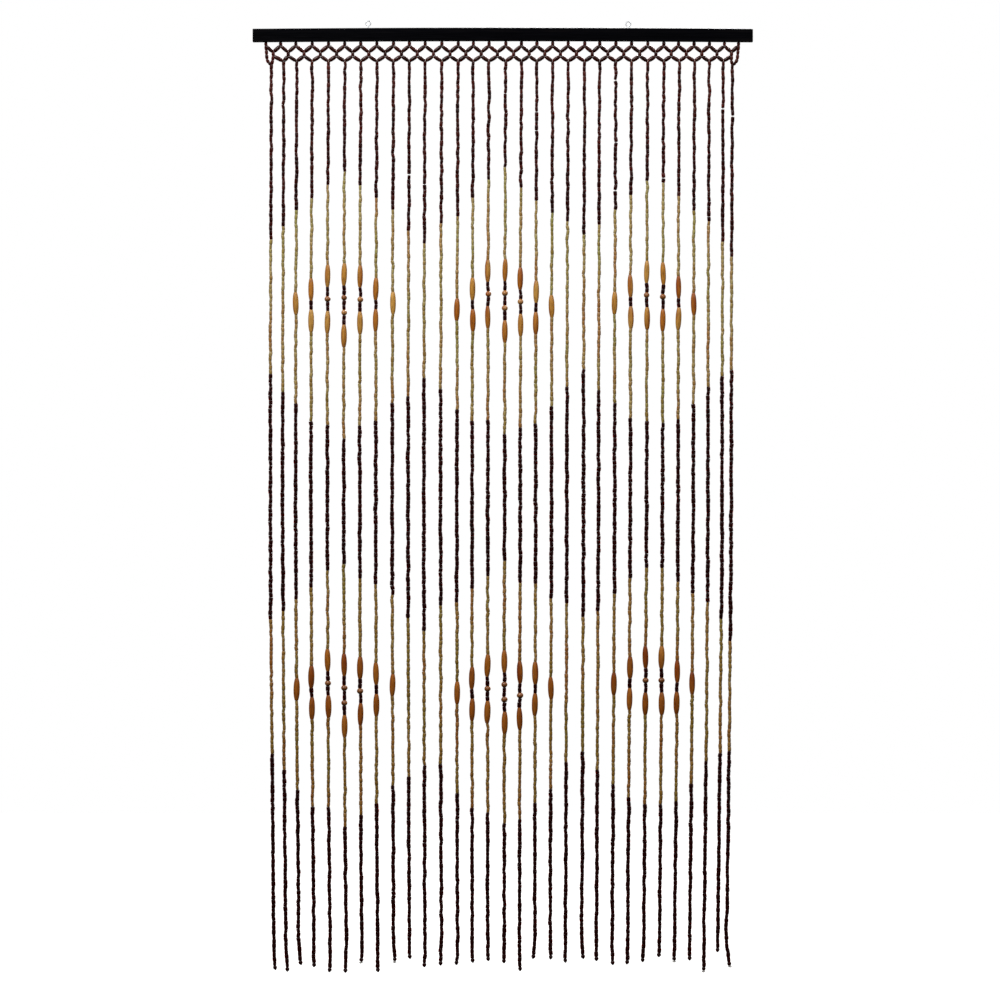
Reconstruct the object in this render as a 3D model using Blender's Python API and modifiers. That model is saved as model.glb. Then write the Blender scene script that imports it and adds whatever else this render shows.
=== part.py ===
"""Bead curtain on its hanging rail.

A dark wooden rail hangs from two screw eyes. Threads leave its underside, cross in a net of oblong
beads, and go on down as separate strings of small beads, with long ovals and rounds in two rows of
medallions. Units are metres, +Z is up and the front of the curtain faces -Y. The origin lies on the
rail's middle, at the height where the two hooks bear in the screw eyes.
"""

import math
from collections import namedtuple

import bmesh
import bpy

# Clearance kept between neighbouring solids
GAP = 0.0003

# Rail: a plain bar, a little higher in the middle than at its ends
RAIL_LENGTH = 0.900
RAIL_DEPTH = 0.012
RAIL_HEIGHT = 0.0234
RAIL_TOP = -0.0112
RAIL_CROWN = 0.0020
RAIL_EDGE = 0.0010
RAIL_STEPS = 13
RAIL_UNDERSIDE = RAIL_TOP - RAIL_HEIGHT

# Screw eyes: bent steel wire, turned into pilot holes in the rail's top
EYE_RING_OUTSIDE = 0.0104
EYE_WIRE = 0.0018
EYE_SHANK = 0.00176
EYE_DEPTH_IN_RAIL = 0.009
ScrewEye = namedtuple("ScrewEye", "name x ring_height")
EYES = (
    ScrewEye("screw_eye_left", -0.242, 0.0090),
    ScrewEye("screw_eye_right", 0.226, 0.0076),
)

# Beads, as full diameter and length
SMALL_BEAD = 0.0068
OVAL_DIAMETER = 0.0104
OVAL_LENGTH = 0.0400
ROUND_BEAD = 0.0104
BEAD_PITCH = 0.0083
NET_BEAD = 0.0062
NET_BEAD_END = 0.0040
NET_STUB = 0.0062

# Net under the rail: heights below the middle of the rail's underside
HOLE_PITCH = 0.0284
HOLE_ROW_MIDDLE = -0.0014
STUB_END = 0.0085
CROSSING_TOP = 0.0203
CROSSING_END = 0.0270
STRAND_ROOT = 0.0365
END_STRAND_ROOT = 0.0410
NET_LAYER = 0.0004
NET_OVERLAP = 0.0018
# Route of the line at each end of the net: share of the way sideways, and drop
END_LINE = ((0.0, 0.004), (0.25, 0.016), (0.30, 0.028), (0.50, 0.037))

# Medallions: middle of each row below the rail's underside
UPPER_ROW = 0.4735
LOWER_ROW = 1.1630

# The way the strands hang: all bow a little to the left on their way down, and
# towards the hems the first strand leans right and the last one leans left
STRAND_BOW = 0.0023
LEAN_FIRST = 0.0050
LEAN_LAST = -0.0112
LEAN_START = 0.790
LEAN_POWER = 1.5
HEM_CURL_LENGTH = 0.060
FULL_DROP = 1.660
PATH_STEP = 0.240

# One row for each strand from left to right, in millimetres:
# hole: shift of its hole in the rail from even spacing
# root: shift of the strand's top from its hole
# steps: strands out from the middle of its medallion, as a plain count
# upper, lower: shift of its beads in the upper and lower row of medallions, down is positive
# hem: drop from the rail's underside to the last bead
# curl: how far the hem turns to the right
Strand = namedtuple("Strand", "hole root steps upper lower hem curl")
STRANDS = [Strand(*row) for row in (
    (0.0, 11.3, 5, 0, 0, 1671, 1),
    (-1.8, 6.8, 4, 0, 0, 1674, 2),
    (-1.8, 2.0, 3, -1, 4, 1662, 3),
    (-0.7, 0.0, 2, 2, 10, 1666, -1),
    (0.2, 0.0, 1, -9, -7, 1675, -1),
    (0.9, 0.5, 0, 2, 15, 1676, -2),
    (1.4, 0.4, 1, -8, 7, 1657, -1),
    (2.0, 0.2, 2, 1, 4, 1675, 0),
    (3.6, 0.0, 3, -2, -4, 1656, 2),
    (3.8, 0.0, 4, 0, 0, 1651, 0),
    (3.8, 0.0, 5, 0, 0, 1666, 0),
    (5.4, 0.0, 4, 0, 0, 1663, -2),
    (6.5, 0.0, 3, 10, 10, 1662, -1),
    (5.4, 0.0, 2, 1, 12, 1658, 0),
    (5.2, 0.0, 1, -18, 3, 1655, 1),
    (7.0, 0.0, 0, -6, 9, 1659, -1),
    (6.7, 0.0, 1, -4, 15, 1673, 1),
    (6.1, 0.0, 2, 6, 3, 1651, -2),
    (6.1, 0.0, 3, 4, 2, 1652, 1),
    (5.6, 0.0, 4, 0, 0, 1658, 0),
    (7.0, 0.0, 5, 0, 0, 1651, 3),
    (5.6, 0.0, 4, 0, 0, 1655, 0),
    (6.3, 0.0, 3, -2, -6, 1662, 1),
    (6.1, 0.0, 2, -4, -7, 1661, 0),
    (7.0, 0.0, 1, -16, -12, 1657, -1),
    (7.4, 0.0, 1, -13, -12, 1648, -1),
    (5.4, 1.6, 2, -2, 0, 1655, -1),
    (5.0, 1.1, 3, 0, -7, 1654, 1),
    (4.3, -0.4, 4, 0, 0, 1673, 0),
    (2.9, -2.0, 5, 0, 0, 1639, 0),
    (-0.2, -10.8, 6, 0, 0, 1664, 4),
)]
LAST = len(STRANDS) - 1
MM = 0.001

# What a medallion holds on each strand, by steps out from its middle: o is a long oval,
# r a round bead, s a pair of small beads between them
MEDALLIONS = {0: "osrsrso", 1: "osrso", 2: "oso", 3: "o"}

# Outlines of the turned beads, as shares of length and of diameter
OVAL_PROFILE = ((0.0, 0.60), (0.18, 0.92), (0.50, 1.0), (0.84, 0.90), (1.0, 0.60))
ROUND_PROFILE = ((0.0, 0.60), (0.28, 1.0), (0.72, 1.0), (1.0, 0.60))
# A string is four sided, with its flats to the front, a little under the bead's diameter
FLAT_SHARE = 0.94
HALF_DIAGONAL = math.sqrt(0.5) * FLAT_SHARE
FOUR_SIDES = 0
FLAT_TO_FRONT = math.radians(45)
WELD = 0.00001


def clear_scene():
    """Remove every object that the file opened with."""
    for item in list(bpy.data.objects):
        bpy.data.objects.remove(item, do_unlink=True)


def new_collection(name):
    """Make a collection and link it to the scene."""
    collection = bpy.data.collections.new(name)
    bpy.context.scene.collection.children.link(collection)
    return collection


def finish_material(name, colour, roughness, metallic=0.0):
    """Make a plain material from linear colour, roughness and metallic value."""
    material = bpy.data.materials.new(name)
    material.use_nodes = True
    shader = material.node_tree.nodes["Principled BSDF"]
    shader.inputs["Base Color"].default_value = (*colour, 1.0)
    shader.inputs["Roughness"].default_value = roughness
    shader.inputs["Metallic"].default_value = metallic
    material.diffuse_color = (*colour, 1.0)
    return material


def place(obj, collection):
    """Move an object into one collection."""
    for old in list(obj.users_collection):
        old.objects.unlink(obj)
    collection.objects.link(obj)


def hide_tool(obj):
    """Mark an object as a cutter or a shape that is joined to another."""
    obj.hide_render = True
    obj.display_type = "WIRE"


def join_shape(target, tool, operation):
    """Add one exact Boolean step to the target."""
    step = target.modifiers.new(operation.lower(), "BOOLEAN")
    step.operation = operation
    step.solver = "EXACT"
    step.object = tool


def rail_drop(x):
    """How far the rail lies below its middle at a place along it."""
    return RAIL_CROWN * (2.0 * x / RAIL_LENGTH) ** 2


def make_rail(parts, cutters):
    """Square bar with softened edges, slightly crowned, with a pilot hole for each screw eye."""
    bpy.ops.mesh.primitive_cube_add(size=1.0)
    rail = bpy.context.object
    rail.name = "rail"
    shape = bmesh.new()
    shape.from_mesh(rail.data)
    along = [edge for edge in shape.edges if edge.verts[0].co.x != edge.verts[1].co.x]
    bmesh.ops.subdivide_edges(shape, edges=along, cuts=RAIL_STEPS - 1)
    for vert in shape.verts:
        x = vert.co.x * RAIL_LENGTH
        vert.co.z = vert.co.z * RAIL_HEIGHT + RAIL_TOP - RAIL_HEIGHT / 2.0 - rail_drop(x)
        vert.co.y *= RAIL_DEPTH
        vert.co.x = x
    shape.to_mesh(rail.data)
    shape.free()
    bevel = rail.modifiers.new("softened edges", "BEVEL")
    bevel.width = RAIL_EDGE
    bevel.segments = 2
    bevel.limit_method = "ANGLE"
    place(rail, parts)
    for eye in EYES:
        depth = EYE_DEPTH_IN_RAIL + GAP + RAIL_HEIGHT / 2.0
        middle = RAIL_TOP - rail_drop(eye.x) - EYE_DEPTH_IN_RAIL - GAP + depth / 2.0
        bpy.ops.mesh.primitive_cylinder_add(
            vertices=12, radius=EYE_WIRE / 2.0 + GAP, depth=depth, location=(eye.x, 0.0, middle))
        hole = bpy.context.object
        hole.name = "pilot_hole_" + eye.name
        place(hole, cutters)
        hide_tool(hole)
        join_shape(rail, hole, "DIFFERENCE")
    rail.data.materials.append(finish_material("black stained wood", (0.004, 0.004, 0.006), 0.45))


def make_screw_eye(eye, steel, parts, cutters):
    """Ring of wire with its shank, turned into the rail."""
    rail_top = RAIL_TOP - rail_drop(eye.x)
    ring_radius = (EYE_RING_OUTSIDE - EYE_WIRE) / 2.0
    ring_middle = rail_top + eye.ring_height
    bpy.ops.mesh.primitive_torus_add(
        major_radius=ring_radius, minor_radius=EYE_WIRE / 2.0, major_segments=24, minor_segments=8,
        location=(eye.x, 0.0, ring_middle), rotation=(math.radians(90), 0.0, 0.0))
    ring = bpy.context.object
    ring.name = eye.name
    place(ring, parts)
    shank_top = ring_middle - ring_radius
    shank_end = rail_top - EYE_DEPTH_IN_RAIL
    bpy.ops.mesh.primitive_cylinder_add(
        vertices=10, radius=EYE_SHANK / 2.0, depth=shank_top - shank_end,
        location=(eye.x, 0.0, (shank_top + shank_end) / 2.0))
    shank = bpy.context.object
    shank.name = "shank_" + eye.name
    place(shank, cutters)
    hide_tool(shank)
    join_shape(ring, shank, "UNION")
    ring.data.materials.append(steel)


def tube(name, points, collection):
    """Four-sided tube through points of (x, y, z, diameter), as a closed mesh."""
    curve = bpy.data.curves.new(name, "CURVE")
    curve.dimensions = "3D"
    curve.bevel_depth = 1.0
    curve.bevel_resolution = FOUR_SIDES
    curve.use_fill_caps = True
    spline = curve.splines.new("POLY")
    spline.points.add(len(points) - 1)
    for spot, (x, y, z, diameter) in zip(spline.points, points):
        spot.co = (x, y, z, 1.0)
        spot.radius = diameter * HALF_DIAGONAL
        spot.tilt = FLAT_TO_FRONT
    guide = bpy.data.objects.new(name, curve)
    collection.objects.link(guide)
    evaluated = guide.evaluated_get(bpy.context.evaluated_depsgraph_get())
    mesh = bpy.data.meshes.new_from_object(evaluated)
    mesh.name = name
    shape = bmesh.new()
    shape.from_mesh(mesh)
    bmesh.ops.remove_doubles(shape, verts=shape.verts, dist=WELD)
    bmesh.ops.recalc_face_normals(shape, faces=shape.faces)
    shape.to_mesh(mesh)
    shape.free()
    bpy.data.objects.remove(guide, do_unlink=True)
    made = bpy.data.objects.new(name, mesh)
    collection.objects.link(made)
    return made


def hole_x(number):
    """Place along the rail of the hole that a strand's threads leave."""
    return HOLE_ROW_MIDDLE + (number - LAST / 2.0) * HOLE_PITCH + STRANDS[number].hole * MM


def root_drop(number):
    """How far under the rail a strand leaves the net: the two outermost hang lower."""
    return END_STRAND_ROOT if number in (0, LAST) else STRAND_ROOT


def strand_x(number, drop):
    """Sideways place of a strand at a given drop below the rail's underside."""
    strand = STRANDS[number]
    root = hole_x(number) + strand.root * MM
    bow = -STRAND_BOW * math.sin(math.pi * min(drop / FULL_DROP, 1.0))
    full_lean = LEAN_FIRST + (LEAN_LAST - LEAN_FIRST) * number / LAST
    fall = max(0.0, drop - LEAN_START) / (FULL_DROP - LEAN_START)
    turned = max(0.0, drop - strand.hem * MM + HEM_CURL_LENGTH) / HEM_CURL_LENGTH
    return root + bow + full_lean * fall ** LEAN_POWER + strand.curl * MM * turned ** 2


def medallion_beads(number, middle):
    """Long ovals and rounds of one strand in a medallion, as (top, length, diameter, outline)."""
    kinds = MEDALLIONS.get(STRANDS[number].steps, "")
    sizes = {"o": OVAL_LENGTH, "r": ROUND_BEAD, "s": 2.0 * BEAD_PITCH}
    drop = middle - sum(sizes[kind] for kind in kinds) / 2.0
    beads = []
    for kind in kinds:
        if kind == "o":
            beads.append((drop, OVAL_LENGTH, OVAL_DIAMETER, OVAL_PROFILE))
        if kind == "r":
            beads.append((drop, ROUND_BEAD, ROUND_BEAD, ROUND_PROFILE))
        drop += sizes[kind]
    return beads


def strand_sections(number):
    """Sections of one strand from its root to its hem, as (drop, diameter)."""
    strand = STRANDS[number]
    root, hem = root_drop(number), strand.hem * MM
    beads = medallion_beads(number, UPPER_ROW + strand.upper * MM)
    beads += medallion_beads(number, LOWER_ROW + strand.lower * MM)
    sections = []
    for top, length, diameter, outline in beads:
        sections += [(top + share * length, diameter * width) for share, width in outline]
    steps = math.ceil((hem - root) / PATH_STEP)
    plain = [root + (hem - root) * step / steps for step in range(steps)]
    plain += [hem - HEM_CURL_LENGTH, hem - HEM_CURL_LENGTH / 3.0, hem]
    for drop in plain:
        if all(abs(drop - top - length / 2.0) > length / 2.0 + BEAD_PITCH
               for top, length, _, _ in beads):
            sections.append((drop, SMALL_BEAD))
    return sorted(sections)


def make_strand(number, collection):
    """One string of beads, hanging free below the net."""
    points = [(strand_x(number, drop), 0.0, RAIL_UNDERSIDE - drop, diameter)
              for drop, diameter in strand_sections(number)]
    return tube("strand_%02d" % number, points, collection)


def upright_bead(name, x, top, end, collection):
    """Short upright bead of the net, straight sided."""
    points = [(x, 0.0, RAIL_UNDERSIDE - drop, NET_STUB) for drop in (top, end)]
    return tube(name, points, collection)


def net_bead(name, start, end, layer, collection):
    """Oblong bead of the net between two places, thick in the middle."""
    points = []
    for share, diameter in ((0.0, NET_BEAD_END), (0.5, NET_BEAD), (1.0, NET_BEAD_END)):
        x = start[0] + (end[0] - start[0]) * share
        drop = start[1] + (end[1] - start[1]) * share
        points.append((x, layer, RAIL_UNDERSIDE - drop, diameter))
    return tube(name, points, collection)


def make_end_line(number, collection):
    """Line of small beads from an outermost hole straight to the root of its strand."""
    x, low = hole_x(number), END_STRAND_ROOT + NET_OVERLAP
    sideways = strand_x(number, low) - x
    points = [(x + sideways * share, NET_LAYER / 2.0, RAIL_UNDERSIDE - drop, NET_BEAD)
              for share, drop in END_LINE + ((1.0, low),)]
    tube("end_line_%02d" % number, points, collection)


def make_net(collection):
    """Two rows of oblique beads between the rail and the roots of the strands."""
    stub_low = STUB_END - NET_OVERLAP
    cross_high = CROSSING_TOP + NET_OVERLAP
    cross_low = CROSSING_END - NET_OVERLAP
    for number in range(LAST + 1):
        x = hole_x(number)
        top = rail_drop(x) + GAP
        upright_bead("stub_%02d" % number, x, top, STUB_END, collection)
    for number in range(LAST):
        left, right = hole_x(number), hole_x(number + 1)
        middle = (left + right) / 2.0
        upright_bead("crossing_%02d" % number, middle, CROSSING_TOP, CROSSING_END, collection)
        net_bead("upper_right_%02d" % number, (left, stub_low), (middle, cross_high), NET_LAYER, collection)
        net_bead("upper_left_%02d" % number, (right, stub_low), (middle, cross_high), -NET_LAYER, collection)
        for side, layer in ((number, -NET_LAYER), (number + 1, NET_LAYER)):
            low = root_drop(side) + NET_OVERLAP
            net_bead("lower_%02d_%02d" % (number, side), (middle, cross_low),
                     (strand_x(side, low), low), layer, collection)
    for number in (0, LAST):
        make_end_line(number, collection)


def make_beadwork(parts, pieces):
    """Net and strands as one solid: each strand stands apart but for its root."""
    beadwork = make_strand(0, parts)
    beadwork.name = "beadwork"
    make_net(pieces)
    for number in range(1, LAST + 1):
        make_strand(number, pieces)
    for piece in pieces.objects:
        hide_tool(piece)
    step = beadwork.modifiers.new("strung together", "BOOLEAN")
    step.operation = "UNION"
    step.solver = "EXACT"
    step.operand_type = "COLLECTION"
    step.collection = pieces
    beadwork.data.materials.append(finish_material("turned wooden beads", (0.12, 0.05, 0.03), 0.4))


def main():
    """Build the curtain from the rail down."""
    clear_scene()
    parts = new_collection("bead curtain")
    cutters = new_collection("cutters")
    make_rail(parts, cutters)
    steel = finish_material("zinc plated steel wire", (0.55, 0.56, 0.57), 0.3, 1.0)
    for eye in EYES:
        make_screw_eye(eye, steel, parts, cutters)
    make_beadwork(parts, new_collection("beadwork pieces"))


main()
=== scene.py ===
"""Looks of the bead curtain: its finishes, screw eyes, threads and beads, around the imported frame.

Units are metres, +Z is up and the front faces -Y. The origin lies on the rail's middle, at the
height where the two hooks bear in the screw eyes.
"""

import math
import random
from collections import namedtuple

import bpy
import numpy as np
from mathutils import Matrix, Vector


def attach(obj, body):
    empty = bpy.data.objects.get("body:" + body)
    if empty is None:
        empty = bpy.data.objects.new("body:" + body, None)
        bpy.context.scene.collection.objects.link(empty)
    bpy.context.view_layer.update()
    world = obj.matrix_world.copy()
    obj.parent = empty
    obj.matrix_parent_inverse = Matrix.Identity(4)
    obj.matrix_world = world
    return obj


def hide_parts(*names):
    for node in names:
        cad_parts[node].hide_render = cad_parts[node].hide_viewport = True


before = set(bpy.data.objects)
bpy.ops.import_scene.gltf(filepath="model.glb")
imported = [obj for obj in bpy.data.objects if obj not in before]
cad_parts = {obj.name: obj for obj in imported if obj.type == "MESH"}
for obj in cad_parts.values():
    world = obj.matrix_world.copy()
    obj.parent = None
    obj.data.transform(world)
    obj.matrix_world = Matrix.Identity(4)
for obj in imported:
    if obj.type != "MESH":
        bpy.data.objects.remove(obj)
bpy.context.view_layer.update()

# Rail. A bar of softwood, 900 mm long and 23 by 12 mm thick, planed, stained nearly black and
# wiped with satin lacquer. It is sawn square, its edges are eased with abrasive paper, and it is
# drilled on top for the screw eyes and below for the threads.
RAIL_LENGTH = 0.900
RAIL_HEIGHT = 0.0234
RAIL_TOP = -0.0112
RAIL_CROWN = 0.0020
RAIL_UNDERSIDE = RAIL_TOP - RAIL_HEIGHT
RAIL_FIBRE_WIDTH = 0.0009
RAIL_FIBRE_LENGTH = 0.050
RAIL_RING_WIDTH = 0.0040
RAIL_EASED_EDGE = 0.0014
# Numbers of the sockets of a Mix node that mixes colours
MIX_FROM, MIX_TO, MIX_RESULT = 6, 7, 2


def linear(code):
    """Linear colour of an sRGB hex code."""
    shares = [int(code[at:at + 2], 16) / 255.0 for at in (1, 3, 5)]
    return (*(part / 12.92 if part <= 0.04045 else ((part + 0.055) / 1.055) ** 2.4
              for part in shares), 1.0)


def add_node(tree, kind, inputs, stops=(), **settings):
    """Add one node with its settings, its sockets' values or links, and a ramp's stops."""
    node = tree.nodes.new(kind)
    for name, value in settings.items():
        setattr(node, name, value)
    for name, value in inputs.items():
        if isinstance(value, bpy.types.NodeSocket):
            tree.links.new(value, node.inputs[name])
        else:
            node.inputs[name].default_value = value
    for number, (place, colour) in enumerate(stops):
        ramp = node.color_ramp.elements
        stop = ramp[number] if number < 2 else ramp.new(place)
        stop.position = place
        stop.color = linear(colour)
    return node


def new_material(name):
    """A material with its node tree and its surface shader."""
    material = bpy.data.materials.new(name)
    material.use_nodes = True
    return material, material.node_tree, material.node_tree.nodes["Principled BSDF"]


def rail_drop(x):
    """How far the rail lies below its middle at a place along it."""
    return RAIL_CROWN * (2.0 * x / RAIL_LENGTH) ** 2


# Black stained pine: the fibres are nearly black, the rings show as faint ridges with a breath
# of brown, and the wiped lacquer gives a soft, slightly broken shine along the grain.
rail_wood, tree, shader = new_material("black_stained_pine")
place = add_node(tree, "ShaderNodeTexCoord", {})
fibre_place = add_node(tree, "ShaderNodeMapping", {
    "Vector": place.outputs["Object"],
    "Scale": (1.0 / RAIL_FIBRE_LENGTH, 1.0 / RAIL_FIBRE_WIDTH, 1.0 / RAIL_FIBRE_WIDTH)})
fibres = add_node(tree, "ShaderNodeTexNoise", {
    "Vector": fibre_place.outputs["Vector"], "Scale": 1.0, "Detail": 5.0, "Roughness": 0.6})
ring_place = add_node(tree, "ShaderNodeMapping", {
    "Vector": place.outputs["Object"],
    "Scale": (1.0 / RAIL_LENGTH, 1.0 / RAIL_RING_WIDTH, 1.0 / RAIL_RING_WIDTH)})
rings = add_node(tree, "ShaderNodeTexNoise", {
    "Vector": ring_place.outputs["Vector"], "Scale": 1.0, "Detail": 2.0, "Distortion": 0.6})
grain = add_node(tree, "ShaderNodeMath", {
    0: fibres.outputs["Fac"], 1: rings.outputs["Fac"]}, operation="MULTIPLY")
stain = add_node(tree, "ShaderNodeValToRGB", {"Fac": grain.outputs["Value"]}, stops=(
    (0.14, "#020203"), (0.28, "#040406"), (0.42, "#0b0807")))
eased = add_node(tree, "ShaderNodeBevel", {"Radius": RAIL_EASED_EDGE}, samples=6)
surface = add_node(tree, "ShaderNodeNewGeometry", {})
flatness = add_node(tree, "ShaderNodeVectorMath", {
    0: eased.outputs["Normal"], 1: surface.outputs["Normal"]}, operation="DOT_PRODUCT")
wear = add_node(tree, "ShaderNodeMapRange", {
    "Value": flatness.outputs["Value"], "From Min": 0.995, "From Max": 0.90, "To Max": 0.45})
rubbed = add_node(tree, "ShaderNodeMath", {
    0: wear.outputs["Result"], 1: fibres.outputs["Fac"]}, operation="MULTIPLY")
worn = add_node(tree, "ShaderNodeMix", {
    "Factor": rubbed.outputs["Value"], MIX_FROM: stain.outputs["Color"],
    MIX_TO: linear("#2a1d16")}, data_type="RGBA")
shine = add_node(tree, "ShaderNodeMapRange", {
    "Value": fibres.outputs["Fac"], "From Min": 0.3, "From Max": 0.7, "To Min": 0.18, "To Max": 0.30})
relief = add_node(tree, "ShaderNodeBump", {
    "Height": grain.outputs["Value"], "Strength": 0.35, "Distance": 0.00020})
tree.links.new(worn.outputs[MIX_RESULT], shader.inputs["Base Color"])
tree.links.new(shine.outputs["Result"], shader.inputs["Roughness"])
tree.links.new(relief.outputs["Normal"], shader.inputs["Normal"])
shader.inputs["Specular IOR Level"].default_value = 0.07
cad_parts["rail"].material_slots[0].material = rail_wood

# Screw eyes. Two eyes of 1.8 mm steel wire, each bent to a ring that stays a hair open beside its
# neck, with a rolled thread on the shank, bright zinc plated. They are turned by hand into pilot
# holes in the rail's top, so one stands a little deeper than the other.
EYE_WIRE = 0.0018
EYE_RING_RADIUS = (0.0104 - EYE_WIRE) / 2.0
EYE_SHANK = 0.00176
EYE_DEPTH_IN_RAIL = 0.0086
EYE_THREAD_WIRE = 0.0005
EYE_THREAD_RADIUS = 0.00076
EYE_THREAD_PITCH = 0.0012
EYE_THREAD_OVER_RAIL = 0.0012
EYE_THREAD_STEPS = 14
NECK_HEIGHT = 0.0012
# The bend from the neck into the ring: aside in wire widths, up in neck heights
NECK_BEND = ((0.15, 0.45), (0.50, 0.90))
LOOP_START = math.radians(-64)
LOOP_END = math.radians(239)
LOOP_STEPS = 40
WIRE_ROUNDNESS = 4
WIRE_CREASE = math.radians(50)
# Cloudy patches of the plating to a metre, about 1 mm each
PLATING_PATCHES = 900.0
ScrewEye = namedtuple("ScrewEye", "piece node x ring_height")
EYES = (
    ScrewEye("left_screw_eye", "screw_eye_left", -0.242, 0.0090),
    ScrewEye("right_screw_eye", "screw_eye_right", 0.226, 0.0076),
)


def draw_wire(name, runs, roundness, material):
    """Round wire or thread as one mesh, for runs of (diameter, points)."""
    curve = bpy.data.curves.new(name, "CURVE")
    curve.dimensions = "3D"
    # Half a unit here makes the radius of each spot mean the diameter of the wire
    curve.bevel_depth = 0.5
    curve.bevel_resolution = roundness
    curve.use_fill_caps = True
    for diameter, points in runs:
        spline = curve.splines.new("POLY")
        spline.points.add(len(points) - 1)
        for spot, point in zip(spline.points, points):
            spot.co = (*point, 1.0)
            spot.radius = diameter
    guide = bpy.data.objects.new(name, curve)
    bpy.context.scene.collection.objects.link(guide)
    evaluated = guide.evaluated_get(bpy.context.evaluated_depsgraph_get())
    mesh = bpy.data.meshes.new_from_object(evaluated)
    bpy.data.objects.remove(guide, do_unlink=True)
    mesh.name = name
    mesh.materials.clear()
    mesh.materials.append(material)
    mesh.shade_smooth()
    mesh.set_sharp_from_angle(angle=WIRE_CREASE)
    piece = bpy.data.objects.new(name, mesh)
    bpy.context.scene.collection.objects.link(piece)
    return piece


# Bright zinc plated steel: pale grey with a cool cast, drawn smooth, a little cloudy where the
# plating is thin, so its shine is broken by soft patches.
steel, tree, shader = new_material("zinc_plated_steel")
place = add_node(tree, "ShaderNodeTexCoord", {})
clouds = add_node(tree, "ShaderNodeTexNoise", {
    "Vector": place.outputs["Object"], "Scale": PLATING_PATCHES, "Detail": 3.0})
plating = add_node(tree, "ShaderNodeValToRGB", {"Fac": clouds.outputs["Fac"]}, stops=(
    (0.35, "#9a9da1"), (0.60, "#c3c6c9"), (0.75, "#d2d4d2")))
haze = add_node(tree, "ShaderNodeMapRange", {
    "Value": clouds.outputs["Fac"], "From Min": 0.3, "From Max": 0.7, "To Min": 0.60, "To Max": 0.42})
tree.links.new(plating.outputs["Color"], shader.inputs["Base Color"])
tree.links.new(haze.outputs["Result"], shader.inputs["Roughness"])
shader.inputs["Metallic"].default_value = 1.0

for eye in EYES:
    rail_top = RAIL_TOP - rail_drop(eye.x)
    ring_middle = rail_top + eye.ring_height
    neck = ring_middle - EYE_RING_RADIUS - NECK_HEIGHT
    shank_end = rail_top - EYE_DEPTH_IN_RAIL
    ring = [(eye.x, 0.0, shank_end), (eye.x, 0.0, neck)]
    ring += [(eye.x + aside * EYE_WIRE, 0.0, neck + up * NECK_HEIGHT) for aside, up in NECK_BEND]
    for step in range(LOOP_STEPS + 1):
        angle = LOOP_START + (LOOP_END - LOOP_START) * step / LOOP_STEPS
        ring.append((eye.x + EYE_RING_RADIUS * math.cos(angle), 0.0,
                     ring_middle + EYE_RING_RADIUS * math.sin(angle)))
    climb = rail_top + EYE_THREAD_OVER_RAIL - shank_end
    coils = math.floor(climb / EYE_THREAD_PITCH * EYE_THREAD_STEPS)
    thread = []
    for step in range(coils + 1):
        angle = math.tau * step / EYE_THREAD_STEPS
        thread.append((eye.x + EYE_THREAD_RADIUS * math.cos(angle), EYE_THREAD_RADIUS * math.sin(angle),
                       shank_end + EYE_THREAD_PITCH * step / EYE_THREAD_STEPS))
    piece = draw_wire(eye.piece, [(EYE_SHANK, ring), (EYE_THREAD_WIRE, thread)],
                      WIRE_ROUNDNESS, steel)
    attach(piece, "root")
    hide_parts(eye.node)

# Stringing chart. Thirty-one strands hang 28 mm apart from a net of crossed threads. Dark beads
# frame straw coloured ones in diamonds, and two rows of medallions are strung in long ovals and
# rounds.

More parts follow.
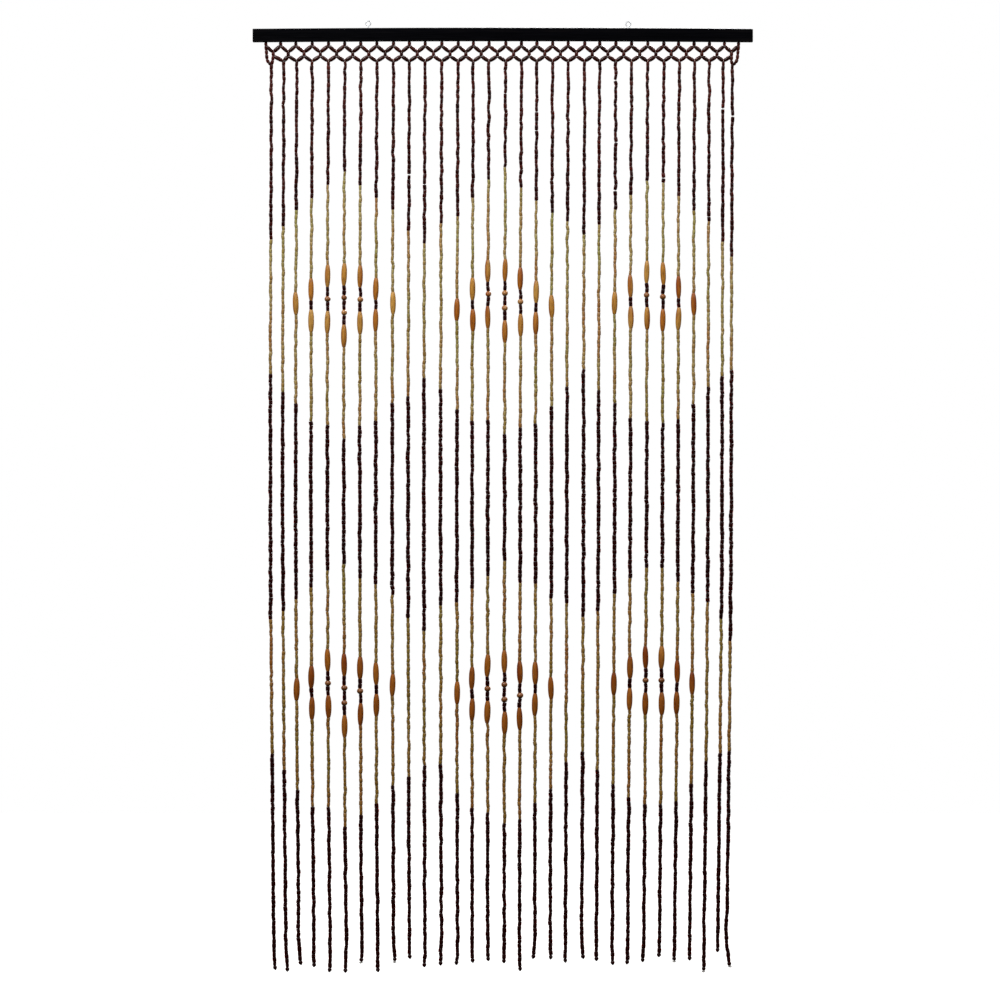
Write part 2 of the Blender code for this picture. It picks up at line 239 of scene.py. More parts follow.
# Each row of the chart is one strand, from left to right, in millimetres:
# hole: shift of its hole in the rail from even spacing
# root: shift of the strand's top from its hole
# steps: strands out from the middle of its medallion, as a plain count
# upper, lower: shift of its beads in the upper and lower row of medallions, down is positive
# hem: drop from the rail's underside to the last bead
# curl: how far the hem turns to the right, after it has swung back a little
# bare: drops where the thread shows between two beads, each with the width of the gap
Strand = namedtuple("Strand", "hole root steps upper lower hem curl bare")
STRANDS = [Strand(*row) for row in (
    (1.0, 10.3, 5, 5, -1, 1671, 1, ()),
    (-0.8, 5.8, 4, 9, 6, 1674, 2, ()),
    (-1.8, 2.0, 3, -1, 4, 1662, 3, ()),
    (-0.7, 0.0, 2, 2, 10, 1666, -1, ()),
    (0.2, 0.0, 1, -9, -7, 1675, -1, ()),
    (0.9, 0.5, 0, 2, 15, 1676, -2, ()),
    (1.4, 0.4, 1, -8, 7, 1657, -1, ()),
    (2.0, 0.2, 2, 1, 4, 1675, 0, ()),
    (3.6, 0.0, 3, -2, -4, 1656, 2, ()),
    (3.8, 0.0, 4, 17, 18, 1651, 0, ((239, 2.4),)),
    (3.8, 0.0, 5, 12, 20, 1666, 0, ((256, 1.2),)),
    (5.4, 0.0, 4, 4, -4, 1663, -2, ()),
    (6.5, 0.0, 3, 10, 10, 1662, -1, ((331, 2.4),)),
    (5.4, 0.0, 2, 1, 12, 1658, 0, ()),
    (5.2, 0.0, 1, -18, 3, 1655, 1, ()),
    (7.0, 0.0, 0, -6, 9, 1659, -1, ((97, 0.8),)),
    (6.7, 0.0, 1, -4, 15, 1673, 1, ()),
    (6.1, 0.0, 2, 6, 3, 1651, -2, ((131, 1.2), (158, 1.2))),
    (6.1, 0.0, 3, 4, 2, 1652, 1, ()),
    (5.6, 0.0, 4, 0, -8, 1658, 0, ()),
    (7.0, 0.0, 5, -4, -5, 1651, 3, ()),
    (5.6, 0.0, 4, 6, 6, 1655, 0, ()),
    (6.3, 0.0, 3, -2, -6, 1662, 1, ((70, 2.2), (178, 1.4), (268, 2.1))),
    (6.1, 0.0, 2, -4, -7, 1661, 0, ()),
    (7.0, 0.0, 1, -16, -12, 1657, -1, ()),
    (7.4, 0.0, 1, -13, -12, 1648, -1, ((248, 1.4),)),
    (5.4, 1.6, 2, -2, 0, 1655, -1, ()),
    (5.0, 1.1, 3, 0, -7, 1654, 1, ()),
    (4.3, -0.4, 4, 0, -10, 1673, 0, ((319, 0.8),)),
    (2.9, -2.0, 5, 9, -2, 1639, 0, ((124, 2.3),)),
    (-0.2, -10.8, 6, 17, 16, 1664, 7, ((137, 2.4),)),
)]
LAST = len(STRANDS) - 1
MM = 0.001

# What a medallion holds on each strand, by steps out from its middle: o is a long oval,
# r a round bead, s a pair of small dark beads between them
MEDALLIONS = {0: "osrsrso", 1: "osrso", 2: "oso", 3: "o"}
# Drops of the middles of both rows of medallions, and the lengths of their beads on the thread
UPPER_ROW = 0.4735
LOWER_ROW = 1.1630
OVAL_LENGTH = 0.0400
ROUND_BEAD = 0.0104
PAIR_LENGTH = 0.0166
LENGTHS = {"o": OVAL_LENGTH, "r": ROUND_BEAD, "s": PAIR_LENGTH}
KINDS = {"o": "oval", "r": "round"}

# Straw beads above and below a medallion's own beads, in millimetres, by steps
Band = namedtuple("Band", "above below")
UPPER_BANDS = {0: Band(165, 165), 1: Band(144, 165), 2: Band(144, 161), 3: Band(148, 160),
               4: Band(149, 149), 5: Band(121, 121), 6: Band(102, 102)}
LOWER_BANDS = {0: Band(161, 161), 1: Band(141, 161), 2: Band(141, 157), 3: Band(142, 161),
               4: Band(143, 143), 5: Band(121, 121), 6: Band(99, 99)}

# The small beads are a little longer at the top of the strands than at the hems, and differ from
# bead to bead by up to this share of their length
TOP_PITCH = 0.00845
HEM_PITCH = 0.00790
PITCH_SPREAD = 0.14
HEM_BEAD_LENGTH = 0.0068

# Net under the rail: heights below the middle of the rail's underside
HOLE_PITCH = 0.0284
HOLE_ROW_MIDDLE = -0.0014
STRAND_ROOT = 0.0365
END_STRAND_ROOT = 0.0425

# The way the strands hang: all bow a little to the left on their way down, and
# towards the hems the first strand leans right and the last one leans left
STRAND_BOW = 0.0023
LEAN_FIRST = 0.0050
LEAN_LAST = -0.0112
LEAN_START = 0.790
LEAN_POWER = 1.5
HEM_CURL_LENGTH = 0.100
CURL_BACKSWING = 1.6
FULL_DROP = 1.660

# Each bead leans as it likes, so the thread wanders from side to side and to and fro. It does so
# most at the top and grows a little calmer down to about a third of the way
SWAY = 0.00064
SWAY_DEEP = 0.00040
MOST_SWAY = 2.2
CALMER_BELOW = 0.20
CALM_DROP = 0.500


def hole_x(number):
    """Place along the rail of the hole that a strand's threads leave."""
    return HOLE_ROW_MIDDLE + (number - LAST / 2.0) * HOLE_PITCH + STRANDS[number].hole * MM


def root_drop(number):
    """How far under the rail a strand leaves the net: the two outermost hang lower."""
    return END_STRAND_ROOT if number in (0, LAST) else STRAND_ROOT


def hang(number, drop):
    """Place of a strand's thread at a given drop below the rail's underside."""
    strand = STRANDS[number]
    bow = -STRAND_BOW * math.sin(math.pi * min(drop / FULL_DROP, 1.0))
    full_lean = LEAN_FIRST + (LEAN_LAST - LEAN_FIRST) * number / LAST
    fall = max(0.0, drop - LEAN_START) / (FULL_DROP - LEAN_START)
    turned = max(0.0, drop - strand.hem * MM + HEM_CURL_LENGTH) / HEM_CURL_LENGTH
    x = (hole_x(number) + strand.root * MM + bow + full_lean * fall ** LEAN_POWER
         + strand.curl * MM * turned * (turned + CURL_BACKSWING * (turned - 1.0)))
    return Vector((x, 0.0, RAIL_UNDERSIDE - drop))


def small_beads(kind, top, end, bare, draws):
    """Small beads of one colour from top to end, as (kind, top, end), none quite like the next."""
    bare = [(drop * MM, gap * MM) for drop, gap in bare if top < drop * MM < end - gap * MM]
    room = end - top - sum(gap for _, gap in bare)
    pitch = TOP_PITCH + (HEM_PITCH - TOP_PITCH) * min((top + end) / 2.0 / FULL_DROP, 1.0)
    sizes = [1.0 + draws.uniform(-PITCH_SPREAD, PITCH_SPREAD) for _ in range(round(room / pitch))]
    beads = []
    for size in sizes:
        length = size * room / sum(sizes)
        beads.append((kind, top, top + length))
        top += length
        if bare and top > bare[0][0] - pitch / 2.0:
            top += bare.pop(0)[1]
    return beads


Bead = namedtuple("Bead", "kind start end")


def string_strand(number):
    """Beads of one strand from its root to its hem, each with its two ends on the thread."""
    strand = STRANDS[number]
    draws = random.Random(number)
    kinds = MEDALLIONS.get(strand.steps, "")
    half = sum(LENGTHS[kind] for kind in kinds) / 2.0
    drop = root_drop(number)
    order = []
    for middle, bands in ((UPPER_ROW + strand.upper * MM, UPPER_BANDS),
                          (LOWER_ROW + strand.lower * MM, LOWER_BANDS)):
        top, end = middle - half, middle + half
        band_top = top - bands[strand.steps].above * MM
        band_end = end + bands[strand.steps].below * MM
        order += small_beads("dark", drop, band_top, strand.bare, draws)
        order += small_beads("straw", band_top, top, (), draws)
        for kind in kinds:
            if kind == "s":
                order += small_beads("dark", top, top + PAIR_LENGTH, (), draws)
            else:
                order.append((KINDS[kind], top, top + LENGTHS[kind]))
            top += LENGTHS[kind]
        order += small_beads("straw", end, band_end, (), draws)
        drop = band_end
    hem = strand.hem * MM
    order += small_beads("dark", drop, hem - HEM_BEAD_LENGTH, (), draws)
    order.append(("hem", hem - HEM_BEAD_LENGTH, hem))
    beads = []
    offset = Vector((0.0, 0.0, 0.0))
    for kind, top, end in order:
        start = hang(number, top) + offset
        lean = [max(-MOST_SWAY, min(draws.gauss(0.0, 1.0), MOST_SWAY)) for _ in range(2)]
        freedom = 1.0 - CALMER_BELOW * min(end / CALM_DROP, 1.0)
        offset = freedom * Vector((SWAY * lean[0], SWAY_DEEP * lean[1], 0.0))
        beads.append(Bead(kind, start, hang(number, end) + offset))
    return beads


strung = [string_strand(number) for number in range(LAST + 1)]

# Threads. Waxed cotton thread, about 1 mm thick. A pair of threads leaves each hole of the rail,
# crosses its neighbours in the net and carries on as one strand, through every bead down to a
# knot. It shows as pale dots where threads meet and between beads that have slid apart.
THREAD = 0.0010
THREAD_IN_RAIL = 0.0030
STUB_TOP = 0.0003
STUB_END = 0.0085
CROSSING_TOP = 0.0203
CROSSING_END = 0.0270
NET_LAYER = 0.0005
THREAD_ROUNDNESS = 1
PLY_LENGTH = 0.0018
# Blender's wave texture goes through 20 radians in one unit of its scale
WAVE_SPAN = math.tau / 20.0
# Tufts of fuzz to a metre, 0.4 mm each
FUZZ_TUFTS = 2500.0
# Route of the line at each end of the net: share of the way sideways to the strand's root, and
# drop. It hangs almost straight, turns in a round loop under the root and climbs back inside
END_LINE = ((0.0, 0.0085), (0.08, 0.0165), (0.13, 0.0245), (0.20, 0.0325), (0.48, 0.0395),
            (1.0, END_STRAND_ROOT))
LOOP_HALF = 0.0022
LOOP_RISE = 0.0075


def cotton_yarn(name, groove_to_top_shades):
    """Cotton yarn of two plies, seen as slanting ridges, with painted shade from their grooves to their
    tops.
    """
    yarn, tree, shader = new_material(name)
    place = add_node(tree, "ShaderNodeTexCoord", {})
    plies = add_node(tree, "ShaderNodeTexWave", {
        "Vector": place.outputs["Object"], "Scale": WAVE_SPAN / PLY_LENGTH, "Distortion": 0.6,
        "Detail": 1.0}, bands_direction="DIAGONAL")
    fuzz = add_node(tree, "ShaderNodeTexNoise", {
        "Vector": place.outputs["Object"], "Scale": FUZZ_TUFTS, "Detail": 2.0})
    # Painted shade: darker in the grooves between the plies, paler on their tops
    painted_groove_shade = add_node(tree, "ShaderNodeValToRGB", {"Fac": plies.outputs["Fac"]}, stops=groove_to_top_shades)
    dusty = add_node(tree, "ShaderNodeMix", {
        "Factor": 0.25, MIX_FROM: painted_groove_shade.outputs["Color"], MIX_TO: fuzz.outputs["Color"]},
        data_type="RGBA", blend_type="SOFT_LIGHT")
    relief = add_node(tree, "ShaderNodeBump", {
        "Height": plies.outputs["Fac"], "Strength": 0.8, "Distance": 0.00012})
    tree.links.new(dusty.outputs[MIX_RESULT], shader.inputs["Base Color"])
    tree.links.new(relief.outputs["Normal"], shader.inputs["Normal"])
    shader.inputs["Roughness"].default_value = 0.75
    shader.inputs["Sheen Weight"].default_value = 0.25
    return yarn


# Waxed cotton: ivory yarn, dull with a faint wax sheen.
cotton = cotton_yarn("waxed_cotton_thread", ((0.0, "#a8977c"), (0.5, "#d6c8ae"), (1.0, "#efe6d2")))


def under_rail(x, drop, layer=0.0):
    """Place in the net at a drop below the middle of the rail's underside."""
    return Vector((x, layer, RAIL_UNDERSIDE - drop))


def end_line(number):
    """Places along the line that joins an outermost hole to the root of its strand."""
    x = hole_x(number)
    sideways = hang(number, END_STRAND_ROOT).x - x
    return [under_rail(x + sideways * share, drop) for share, drop in END_LINE]


def inner_line(number):
    """Places along the line that climbs from the root of an outermost strand to the net."""
    inward = 1 if number == 0 else -1
    middle = (hole_x(number) + hole_x(number + inward)) / 2.0
    low = hang(number, END_STRAND_ROOT)
    return [under_rail(middle, CROSSING_END), low + Vector((inward * LOOP_HALF, 0.0, LOOP_RISE)), low]


runs = []
for beads in strung:
    points = [beads[0].start]
    for bead in beads:
        points += [bead.start, bead.end] if (bead.start - points[-1]).length > THREAD else [bead.end]
    runs.append((THREAD, points))
for number in range(LAST):
    left, right = hole_x(number), hole_x(number + 1)
    middle = (left + right) / 2.0
    for start, root, layer in ((left, number + 1, NET_LAYER), (right, number, -NET_LAYER)):
        runs.append((THREAD, [
            under_rail(start, -THREAD_IN_RAIL, layer), under_rail(start, STUB_END, layer),
            under_rail(middle, CROSSING_TOP, layer), under_rail(middle, CROSSING_END, layer)]
            + ([] if root in (0, LAST) else [hang(root, root_drop(root)) + Vector((0.0, layer, 0.0))])))
for number in (0, LAST):
    runs.append((THREAD, [under_rail(hole_x(number), -THREAD_IN_RAIL)] + end_line(number)))
    runs.append((THREAD, inner_line(number)))
threads = draw_wire("threads", runs, THREAD_ROUNDNESS, cotton)
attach(threads, "root")
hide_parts("beadwork")

# Beads of the net. Slim barrels of beech, about 16 mm long and 7.5 mm thick, turned, bored and dyed
# dark brown, one on each slanting thread. Short dark beads hold the threads together under the
# rail, at each crossing and down both ends of the net.
NET_BEAD = 0.0075
NET_CLEARANCE = 0.0009
SHORT_BEAD = 0.0061
BORE = 0.0017
BEAD_CLEARANCE = 0.00005
TURNED_SIDES = 14
TURNED_SPREAD = 0.05
BEAD_CREASE = math.radians(55)
# The girths grow by this share on the way down, until this share of the full drop
FULLER_BELOW = 0.22
FULL_FROM = 0.50
# Margin of a bead's patch in the unrolled map as a share of the patch, and the most that its grain
# is shifted in the wood, in millimetres
PATCH_EDGE = 0.06
GRAIN_SHIFT = 500.0
# Share of the depth of stain that is each bead's own, the rest being painted shade that deepens towards
# the hems, and the size of a batch of one tint
STAIN_SPREAD = 0.35
BATCH_WIDTH = 0.020
BATCH_LENGTH = 0.120
# The dye glows a little at the rims, where the light grazes the lacquer
RIM_WEIGHT = 0.5
RIM_ROUGHNESS = 0.35


def barrel(end, fullness, steps):
    """Outline of a turned bead from end to end, as shares of its length and of its girth."""
    places = [step / steps for step in range(steps + 1)]
    return tuple((at, end + (1.0 - end) * (1.0 - abs(2.0 * at - 1.0) ** fullness)) for at in places)


def turn_beads(name, beads, girth, spread, outline, sides, material, seed):
    """One mesh of many beads, each the outline turned round its own line and bored through."""
    draws = np.random.default_rng(seed)
    count = len(beads)
    start = np.array([bead.start for bead in beads])
    line = np.array([bead.end for bead in beads]) - start
    length = np.linalg.norm(line, axis=1)[:, None]
    along = line / length
    start = start + along * BEAD_CLEARANCE
    length = length - 2.0 * BEAD_CLEARANCE
    across = np.cross((0.0, 1.0, 0.0), along)
    across /= np.linalg.norm(across, axis=1)[:, None]
    beside = np.cross(along, across)
    rings = np.array(outline + ((1.0, BORE / girth), (0.0, BORE / girth)))
    ring_count = len(rings)
    fallen = np.clip((RAIL_UNDERSIDE - start[:, 2]) / FULL_DROP, 0.0, 1.0)
    girths = girth * (1.0 + FULLER_BELOW * np.minimum(fallen / FULL_FROM, 1.0)) * draws.uniform(
        1.0 - spread, 1.0 + spread, count)
    angle = draws.uniform(0.0, math.tau, count)[:, None] + np.arange(sides) * math.tau / sides

    # Places in each bead's own directions, by bead, ring and side
    radius = girths[:, None, None] * rings[None, :, None, 1] / 2.0
    own = np.stack(np.broadcast_arrays(
        radius * np.cos(angle)[:, None, :], radius * np.sin(angle)[:, None, :],
        length[:, :, None] * rings[None, :, None, 0]), axis=-1)
    points = (start[:, None, None, :] + own[..., :1] * across[:, None, None, :]
              + own[..., 1:2] * beside[:, None, None, :] + own[..., 2:] * along[:, None, None, :])

    ring, side = np.meshgrid(np.arange(ring_count), np.arange(sides), indexing="ij")
    next_ring, next_side = (ring + 1) % ring_count, (side + 1) % sides
    corners = np.stack((ring * sides + side, ring * sides + next_side,
                        next_ring * sides + next_side, next_ring * sides + side), axis=-1)
    first = np.arange(count)[:, None, None, None] * ring_count * sides
    faces = (first + corners[None]).reshape(-1, 4)
    mesh = bpy.data.meshes.new(name)
    mesh.from_pydata(points.reshape(-1, 3), [], faces)

    # The grain follows each bead, and every bead has its own piece of wood and depth of stain. On top
    # of that the stain is drawn deeper towards the hems, which is painted shade for the light falling
    # off down the strands
    shift = draws.uniform(0.0, GRAIN_SHIFT, (count, 1, 1, 3))
    grain = mesh.attributes.new("grain", "FLOAT_VECTOR", "POINT")
    grain.data.foreach_set("vector", (own / MM + shift).astype(np.float32).ravel())
    # Painted shade: the stain deepens with the drop down the strands, over each bead's own share
    stain_and_shade = fallen * (1.0 - STAIN_SPREAD) + draws.uniform(0.0, STAIN_SPREAD, count)
    stain = mesh.attributes.new("stain", "FLOAT", "POINT")
    stain.data.foreach_set("value", np.repeat(stain_and_shade, ring_count * sides).astype(np.float32))

    # Each bead unrolls into a patch of its own
    patches = math.ceil(math.sqrt(count))
    column, row = np.arange(count) % patches, np.arange(count) // patches
    unrolled = np.stack((
        np.stack((side, side + 1, side + 1, side), axis=-1) / sides,
        np.stack((ring, ring, ring + 1, ring + 1), axis=-1) / ring_count), axis=-1)
    inset = PATCH_EDGE + (1.0 - 2.0 * PATCH_EDGE) * unrolled
    corner = np.stack((column, row), axis=-1)[:, None, None, None, :]
    layer = mesh.uv_layers.new(name="OFBake")
    layer.data.foreach_set("uv", ((corner + inset[None]) / patches).astype(np.float32).ravel())

    mesh.materials.append(material)
    mesh.shade_smooth()
    mesh.set_sharp_from_angle(angle=BEAD_CREASE)
    piece = bpy.data.objects.new(name, mesh)
    bpy.context.scene.collection.objects.link(piece)
    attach(piece, "root")
    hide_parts("beadwork")


def stained_wood(name, stains, tints, rim, fibre_width, fibre_length, roughness, gloss):
    """Turned, dyed and lacquered wood: stains from pale to deep, deeper towards the hems as painted
    shade, tints of the dye from batch to batch along the strands, its glow at the rims, and the size of
    its fibres in millimetres."""
    wood, tree, shader = new_material(name)
    place = add_node(tree, "ShaderNodeAttribute", {}, attribute_name="grain")
    fibre_place = add_node(tree, "ShaderNodeMapping", {
        "Vector": place.outputs["Vector"],
        "Scale": (1.0 / fibre_width, 1.0 / fibre_width, 1.0 / fibre_length)})
    fibres = add_node(tree, "ShaderNodeTexNoise", {
        "Vector": fibre_place.outputs["Vector"], "Scale": 1.0, "Detail": 3.0, "Roughness": 0.6})
    # The stain read here is partly each bead's own and partly painted shade towards the hems
    stain_and_shade = add_node(tree, "ShaderNodeAttribute", {}, attribute_name="stain")
    dye = add_node(tree, "ShaderNodeValToRGB", {"Fac": stain_and_shade.outputs["Fac"]}, stops=stains)
    streaks = add_node(tree, "ShaderNodeValToRGB", {"Fac": fibres.outputs["Fac"]}, stops=(
        (0.30, "#8c8078"), (0.52, "#e6e2de"), (0.72, "#ffffff")))
    colour = add_node(tree, "ShaderNodeMix", {
        "Factor": 1.0, MIX_FROM: dye.outputs["Color"], MIX_TO: streaks.outputs["Color"]},
        data_type="RGBA", blend_type="MULTIPLY")
    curtain = add_node(tree, "ShaderNodeTexCoord", {})
    batch_place = add_node(tree, "ShaderNodeMapping", {
        "Vector": curtain.outputs["Object"],
        "Scale": (1.0 / BATCH_WIDTH, 0.0, 1.0 / BATCH_LENGTH)})
    batch = add_node(tree, "ShaderNodeTexNoise", {
        "Vector": batch_place.outputs["Vector"], "Scale": 1.0, "Detail": 2.0})
    tint = add_node(tree, "ShaderNodeValToRGB", {"Fac": batch.outputs["Fac"]}, stops=(
        (0.35, tints[0]), (0.50, tints[1]), (0.65, tints[2])))
    tinted = add_node(tree, "ShaderNodeMix", {
        "Factor": 1.0, MIX_FROM: colour.outputs[MIX_RESULT], MIX_TO: tint.outputs["Color"]},
        data_type="RGBA", blend_type="MULTIPLY")
    polish = add_node(tree, "ShaderNodeMapRange", {
        "Value": fibres.outputs["Fac"], "From Min": 0.3, "From Max": 0.7,
        "To Min": roughness + 0.08, "To Max": roughness - 0.06})
    relief = add_node(tree, "ShaderNodeBump", {
        "Height": fibres.outputs["Fac"], "Strength": 0.4, "Distance": 0.00008})
    tree.links.new(tinted.outputs[MIX_RESULT], shader.inputs["Base Color"])
    tree.links.new(polish.outputs["Result"], shader.inputs["Roughness"])
    tree.links.new(relief.outputs["Normal"], shader.inputs["Normal"])
    shader.inputs["Specular IOR Level"].default_value = gloss
    shader.inputs["Sheen Weight"].default_value = RIM_WEIGHT
    shader.inputs["Sheen Roughness"].default_value = RIM_ROUGHNESS
    shader.inputs["Sheen Tint"].default_value = linear(rim)
    return wood


# Dark dyed beech: umber brown with a red cast, each bead a little lighter or deeper, its fine
# fibres drawn a little coarse so that they show, under a thin satin lacquer.
umber_wood = stained_wood("umber_dyed_beech", (
    (0.0, "#371711"), (0.20, "#250d08"), (0.4, "#180704")),
    ("#d0ccb0", "#fff4ec", "#f4c8cc"), rim="#ff3018",
    fibre_width=0.7, fibre_length=6.0, roughness=0.32, gloss=0.18)

slanting, short = [], []
for number in range(LAST + 1):
    x = hole_x(number)
    short.append(Bead("short", under_rail(x, rail_drop(x) + STUB_TOP), under_rail(x, STUB_END)))
for number in range(LAST):
    left, right = hole_x(number), hole_x(number + 1)
    middle = (left + right) / 2.0
    short.append(Bead("short", under_rail(middle, CROSSING_TOP), under_rail(middle, CROSSING_END)))
    legs = [(under_rail(left, STUB_END, NET_LAYER), under_rail(middle, CROSSING_TOP, NET_LAYER)),
            (under_rail(right, STUB_END, -NET_LAYER), under_rail(middle, CROSSING_TOP, -NET_LAYER))]
    for side, layer in ((number, -NET_LAYER), (number + 1, NET_LAYER)):
        if side not in (0, LAST):
            legs.append((under_rail(middle, CROSSING_END, layer),
                         hang(side, STRAND_ROOT) + Vector((0.0, layer, 0.0))))
    for start, end in legs:
        step = (end - start).normalized() * NET_CLEARANCE
        slanting.append(Bead("slanting", start + step, end - step))
for number in (0, LAST):
    for places in (end_line(number), inner_line(number)):
        short += [Bead("short", start, end) for start, end in zip(places, places[1:])]
turn_beads("net_beads", slanting, NET_BEAD, TURNED_SPREAD,
           barrel(end=0.62, fullness=3.0, steps=10), TURNED_SIDES, umber_wood, seed=11)

# Maroon dyed beech: nearly black red-brown, deep and even, with a thin satin lacquer.
maroon_wood = stained_wood("maroon_dyed_beech", (
    (0.0, "#4a231d"), (0.14, "#3a1510"), (0.28, "#240705"), (0.50, "#1f0503"), (1.0, "#220604")),
    ("#ccccb4", "#fff4ee", "#f8ccd4"), rim="#ff2814",
    fibre_width=0.7, fibre_length=6.0, roughness=0.32, gloss=0.10)
turn_beads("short_net_beads", short, SHORT_BEAD, TURNED_SPREAD,
           barrel(end=0.70, fullness=3.0, steps=8), TURNED_SIDES, maroon_wood, seed=12)

# Small dark beads. Short rods of beech with rounded ends, about 8 mm long and 6 to 7 mm thick,
# tumbled, dyed maroon and lacquered. They hang end to end and lean this way and that, so a
# string has a zigzag edge.
SMALL_BEAD = 0.0060
TUMBLED_SPREAD = 0.12
SMALL_OUTLINE = ((0.0, 0.84), (0.12, 0.96), (0.50, 1.0), (0.88, 0.96), (1.0, 0.84))
SMALL_SIDES = 9


def beads_of(kind, first, last):
    """Beads of one kind on the strands from first to last."""
    return [bead for beads in strung[first:last + 1] for bead in beads if bead.kind == kind]


for name, first, last, seed in (("dark_beads_left", 0, 9, 21), ("dark_beads_middle", 10, 20, 22),
                                ("dark_beads_right", 21, LAST, 23)):
    turn_beads(name, beads_of("dark", first, last), SMALL_BEAD, TUMBLED_SPREAD, SMALL_OUTLINE,
               SMALL_SIDES, maroon_wood, seed)

# Small straw beads. The same short rods of beech, slimmer by nearly a millimetre and left nearly in
# the wood's own colour, dipped in a weak amber or olive dye and lacquered. They fill the diamonds
# round the medallions.
STRAW_BEAD = 0.0051
# Straw dyed beech: pale warm wood, deeper from bead to bead and from batch to batch a little
# greener or pinker.
straw_wood = stained_wood("straw_dyed_beech", (
    (0.0, "#a69e76"), (0.25, "#9e8f60"), (0.5, "#917642"), (0.75, "#8a6830"), (1.0, "#845c24")),
    ("#e4f0c4", "#fffdf2", "#ffd6c4"), rim="#ffc040",
    fibre_width=0.7, fibre_length=6.0, roughness=0.38, gloss=0.25)
for name, first, last, seed in (("straw_beads_left", 0, 15, 31), ("straw_beads_right", 16, LAST, 32)):
    turn_beads(name, beads_of("straw", first, last), STRAW_BEAD, TUMBLED_SPREAD, SMALL_OUTLINE,
               SMALL_SIDES, straw_wood, seed)

# Long ovals. Cigar shaped beads of ash, 40 by 11 mm, turned to small flat ends and dipped in amber
# dye. They set out the medallions, one above and one below the middle of each strand's share.
OVAL_DIAMETER = 0.0091
LARGE_SIDES = 20
# Amber dyed ash: open grained, with brown pores in long streaks over a golden to reddish ground.
amber_wood = stained_wood("amber_dyed_ash", (
    (0.0, "#c69e56"), (0.38, "#b2823a"), (0.50, "#a0601e"), (1.0, "#80400e")),
    ("#fff4d8", "#ffffff", "#dcae90"), rim="#ffa030",
    fibre_width=0.9, fibre_length=14.0, roughness=0.36, gloss=0.25)
turn_beads("long_ovals", beads_of("oval", 0, LAST), OVAL_DIAMETER, TURNED_SPREAD,
           barrel(end=0.56, fullness=2.5, steps=16), LARGE_SIDES, amber_wood, seed=41)

# Round beads. Turned balls of maple, 10 mm across, dipped in honey dye and lacquered. The strands
# at the heart of each medallion have one or two of them between their ovals.
ROUND_GIRTH = 0.0094
# Honey dyed maple: paler and closer grained than the ovals, with a clearer shine.
honey_wood = stained_wood("honey_dyed_maple", (
    (0.0, "#b08c58"), (0.34, "#a87a4a"), (0.50, "#825430"), (1.0, "#6c4020")),
    ("#ffeacb", "#ffffff", "#f2c4a8"), rim="#ffb060",
    fibre_width=0.6, fibre_length=5.0, roughness=0.30, gloss=0.30)
turn_beads("round_beads", beads_of("round", 0, LAST), ROUND_GIRTH, TURNED_SPREAD,
           barrel(end=0.42, fullness=2.1, steps=12), LARGE_SIDES, honey_wood, seed=51)

# Hems. Every string ends in a rounder dark bead with the thread tied off below it. Most knots are
# drawn up into the bead's bore, and a few hang just under it and show grey.
HEM_BEAD = 0.0062
KNOT_RADIUS = 0.0005
KNOT_STEPS = 30
KNOT_ROUNDNESS = 2
# Strands whose knots hang low, the drop and size of those knots, and the tail below them
LOW_KNOTS = (6, 8, 26, 28, 30)
LOW_KNOT_DROP = 0.0018
LOW_KNOT_SIZE = 2.2
TAIL = 0.0022
HIGH_KNOT_DROP = 0.0004
turn_beads("hem_beads", beads_of("hem", 0, LAST), HEM_BEAD, TURNED_SPREAD,
           barrel(end=0.52, fullness=2.3, steps=8), TURNED_SIDES, maroon_wood, seed=61)
# Glued cotton: the knots are stiff with glue and rubbed grey by the dye of the last bead.
glued_cotton = cotton_yarn("glued_cotton_knot", ((0.0, "#4a4643"), (0.5, "#85807a"), (1.0, "#b8b2aa")))


def knot(middle, size):
    """Overhand knot drawn tight, as places along its thread."""
    places = []
    for step in range(KNOT_STEPS + 1):
        turn = math.tau * step / KNOT_STEPS
        places.append(middle + size * KNOT_RADIUS * Vector((
            math.sin(turn) + 2.0 * math.sin(2.0 * turn), math.cos(turn) - 2.0 * math.cos(2.0 * turn),
            -math.sin(3.0 * turn))))
    return places


runs = []
for number, beads in enumerate(strung):
    low = number in LOW_KNOTS
    end = beads[-1].end
    down = (end - beads[-1].start).normalized()
    middle = end + down * (LOW_KNOT_DROP if low else HIGH_KNOT_DROP)
    runs.append((THREAD, knot(middle, LOW_KNOT_SIZE if low else 1.0)))
    runs.append((THREAD, [end - down * THREAD, middle, middle + down * (TAIL if low else THREAD)]))
knots = draw_wire("hem_knots", runs, KNOT_ROUNDNESS, glued_cotton)
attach(knots, "root")
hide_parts("beadwork")

# Studio. The curtain hangs in the open before a white ground, over a pale floor that glows with
# painted light and fades into the white away from it, from a faint pool of painted shade under the
# curtain. A large soft lamp lights it from the upper left, a weaker one from the right, and a third
# lights its back.
FLOOR_HEIGHT = -1.850
FLOOR_SIZE = 9.0
# Half sizes of the pool of painted shade on the floor under the curtain
SHADE_POOL_HALF = (1.30, 0.55)
# Speckles of the paint to a metre, drawn coarse so that they show
SPECKLES = 60.0
ROOM_GLOW = 0.03
CAMERA_DISTANCE = 6.0
VIEW_WIDTH = 1.80
SENSOR_MM = 36.0
VIEW_MIDDLE = (-0.00495, -0.8608)
Lamp = namedtuple("Lamp", "name place target size watts")
LAMPS = (
    Lamp("key_lamp", (-1.6, -2.4, 2.4), (0.0, 0.0, -0.5), 1.6, 260.0),
    Lamp("fill_lamp", (2.2, -2.4, 1.8), (0.0, 0.0, -0.7), 1.6, 90.0),
    Lamp("back_lamp", (0.8, 2.6, 1.6), (0.0, 0.0, -0.8), 1.6, 180.0),
)

scene = bpy.context.scene
scene.view_settings.view_transform = "Standard"

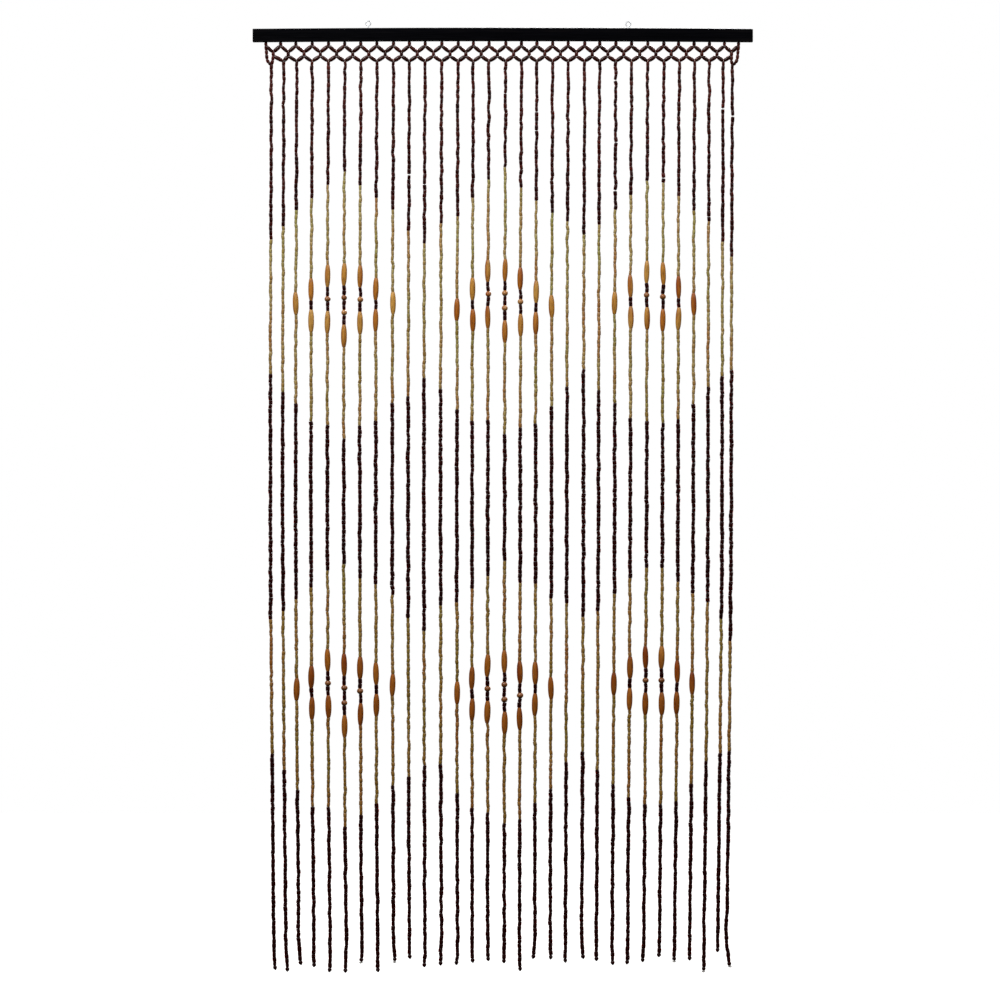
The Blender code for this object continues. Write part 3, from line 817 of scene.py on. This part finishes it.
floor_mesh = bpy.data.meshes.new("floor")
half = FLOOR_SIZE / 2.0
floor_mesh.from_pydata([(-half, -half, FLOOR_HEIGHT), (half, -half, FLOOR_HEIGHT),
                        (half, half, FLOOR_HEIGHT), (-half, half, FLOOR_HEIGHT)], [], [(0, 1, 2, 3)])
floor = bpy.data.objects.new("floor", floor_mesh)
scene.collection.objects.link(floor)
floor.visible_diffuse = False
floor.visible_glossy = False
# Pale painted board: matt and off-white, with a painted glow that is dimmer in a pool of painted
# shade under the curtain and runs out into plain white.
paint, tree, shader = new_material("pale_painted_board")
place = add_node(tree, "ShaderNodeTexCoord", {})
shade_pool_place = add_node(tree, "ShaderNodeMapping", {
    "Vector": place.outputs["Object"], "Scale": (1.0 / SHADE_POOL_HALF[0], 1.0 / SHADE_POOL_HALF[1], 0.0)})
shade_pool = add_node(tree, "ShaderNodeTexGradient", {"Vector": shade_pool_place.outputs["Vector"]},
                gradient_type="SPHERICAL")
speckle = add_node(tree, "ShaderNodeTexNoise", {
    "Vector": place.outputs["Object"], "Scale": SPECKLES, "Detail": 4.0})
# Painted light: the board glows, and glows less in the pool of painted shade under the curtain
glow = add_node(tree, "ShaderNodeMapRange", {
    "Value": shade_pool.outputs["Fac"], "From Max": 0.6, "To Min": 1.0, "To Max": 0.72})
pale = add_node(tree, "ShaderNodeValToRGB", {"Fac": speckle.outputs["Fac"]}, stops=(
    (0.3, "#7a7977"), (0.7, "#82817f")))
tree.links.new(pale.outputs["Color"], shader.inputs["Base Color"])
tree.links.new(glow.outputs["Result"], shader.inputs["Emission Strength"])
shader.inputs["Emission Color"].default_value = linear("#ffffff")
shader.inputs["Roughness"].default_value = 0.9
floor_mesh.materials.append(paint)

# White ground behind, and a dimmer, even room for what the beads reflect
world = bpy.data.worlds.new("studio")
world.use_nodes = True
scene.world = world
tree = world.node_tree
ground = tree.nodes["Background"]
ground.inputs["Color"].default_value = linear("#ffffff")
ground.inputs["Strength"].default_value = 1.0
room = add_node(tree, "ShaderNodeBackground", {
    "Color": linear("#fff8f0"), "Strength": ROOM_GLOW})
rays = add_node(tree, "ShaderNodeLightPath", {})
seen = add_node(tree, "ShaderNodeMixShader", {
    "Fac": rays.outputs["Is Camera Ray"], 1: room.outputs["Background"],
    2: ground.outputs["Background"]})
tree.links.new(seen.outputs["Shader"], tree.nodes["World Output"].inputs["Surface"])

for lamp in LAMPS:
    light = bpy.data.lights.new(lamp.name, "AREA")
    light.shape = "SQUARE"
    light.size = lamp.size
    light.energy = lamp.watts
    holder = bpy.data.objects.new(lamp.name, light)
    holder.location = lamp.place
    aim = Vector(lamp.target) - Vector(lamp.place)
    holder.rotation_euler = aim.to_track_quat("-Z", "Y").to_euler()
    holder.visible_camera = False
    scene.collection.objects.link(holder)

camera_data = bpy.data.cameras.new("camera")
camera_data.sensor_width = SENSOR_MM
camera_data.lens = SENSOR_MM * CAMERA_DISTANCE / VIEW_WIDTH
camera = bpy.data.objects.new("camera", camera_data)
camera.location = (VIEW_MIDDLE[0], -CAMERA_DISTANCE, VIEW_MIDDLE[1])
camera.rotation_euler = (math.radians(90), 0.0, 0.0)
scene.collection.objects.link(camera)
scene.camera = camera
